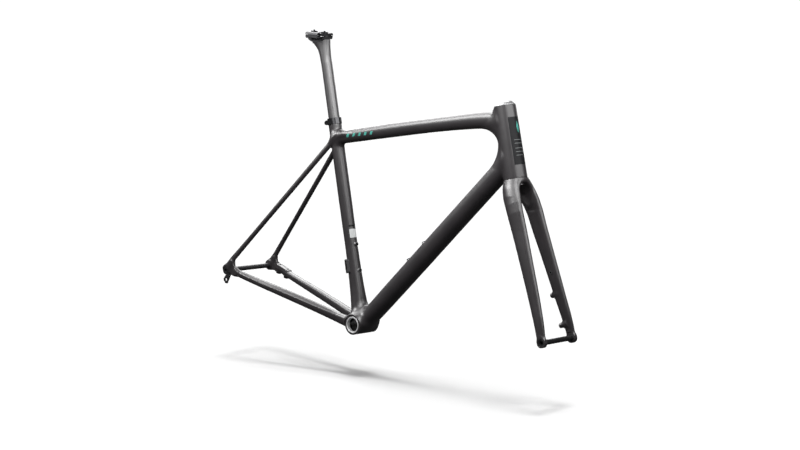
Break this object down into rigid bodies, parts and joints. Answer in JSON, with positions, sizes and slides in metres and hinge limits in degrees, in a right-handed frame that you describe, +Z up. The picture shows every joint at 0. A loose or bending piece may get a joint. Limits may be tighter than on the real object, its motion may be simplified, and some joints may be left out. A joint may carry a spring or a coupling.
{
  "type": "bicycle frame",
  "caption": "Carbon road bicycle frameset with disc fork, headset, seatpost with saddle clamp, derailleur hanger and thru-axles.",
  "frame": {"origin": "centre of the bottom bracket, on the frame's middle plane", "axes": "+X forwards to the front wheel, +Y to the rider's left along the bottom bracket, +Z up"},
  "size_m": [1.0139, 0.1624, 0.7165],
  "materials": {
    "carbon": "satin clear coat over carbon fibre",
    "silver_alloy": "satin silver anodised",
    "black_alloy": "black anodised",
    "black_steel": "black oxide",
    "bearing_steel": "ground",
    "rubber": "matte"
  },
  "bodies": {
    "frame": {"head_tube": "carbon", "top_tube": "carbon", "down_tube": "carbon", "seat_tube": "carbon", "bottom_bracket_shell": "carbon", "right_bottom_bracket_insert": "silver_alloy", "left_bottom_bracket_insert": "silver_alloy", "right_chainstay": "carbon", "left_chainstay": "carbon", "right_seatstay": "carbon", "left_seatstay": "carbon", "right_dropout": "carbon", "left_dropout": "carbon", "derailleur_hanger": "black_alloy", "hanger_bolt": "black_steel", "rear_axle_nut": "black_alloy", "rear_brake_sleeves": "black_alloy", "chainstay_hose_grommet": "rubber", "down_tube_hose_grommet": "rubber", "seat_collar": "black_alloy", "seat_collar_bolt": "black_steel", "seat_collar_nut": "black_alloy", "bottle_nuts": "black_alloy", "bottle_bolts": "black_steel", "front_derailleur_mount": "black_alloy", "front_derailleur_mount_screws": "black_steel", "upper_bearing_outer_race": "bearing_steel", "lower_bearing_outer_race": "bearing_steel"},
    "fork": {"steerer_tube": "carbon", "fork_crown": "carbon", "right_fork_leg": "carbon", "left_fork_leg": "carbon", "upper_bearing_inner_race": "bearing_steel", "lower_bearing_inner_race": "bearing_steel", "upper_bearing_balls": "bearing_steel", "lower_bearing_balls": "bearing_steel", "compression_ring": "black_alloy", "upper_seal": "rubber", "headset_cover": "silver_alloy", "crown_race": "black_alloy", "lower_seal": "rubber", "expander_plug": "black_alloy", "top_cap": "silver_alloy", "top_cap_bolt": "black_steel", "front_axle_nut": "black_alloy", "left_tip_bush": "black_alloy", "front_brake_inserts": "black_alloy", "fork_hose_grommet": "rubber"},
    "front_axle": {"front_thru_axle": "black_alloy"},
    "rear_axle": {"rear_thru_axle": "black_alloy"},
    "seatpost": {"seatpost": "carbon"},
    "saddle_clamp": {"lower_cradle": "black_alloy", "upper_clamp": "black_alloy", "clamp_bolts": "black_steel", "clamp_barrel_nuts": "black_steel"}
  },
  "joints": [
    {"name": "steering", "type": "hinge", "parent": "frame", "child": "fork", "pos_m": [0.388, 0, 0.57], "axis": [-0.284, 0, 0.9588], "continuous": true},
    {"name": "seatpost_slide", "type": "slide", "parent": "frame", "child": "seatpost", "axis": [-0.2714, 0, 0.9625], "range_m": [-0.1, 0.09]},
    {"name": "saddle_tilt", "type": "hinge", "parent": "seatpost", "child": "saddle_clamp", "pos_m": [-0.205, 0, 0.712], "axis": [0, 1, 0], "range_deg": [-5, 5]},
    {"name": "front_axle_slide", "type": "slide", "parent": "fork", "child": "front_axle", "axis": [0, 1, 0], "range_m": [0, 0.125]},
    {"name": "rear_axle_slide", "type": "slide", "parent": "frame", "child": "rear_axle", "axis": [0, 1, 0], "range_m": [0, 0.168]}
  ]
}
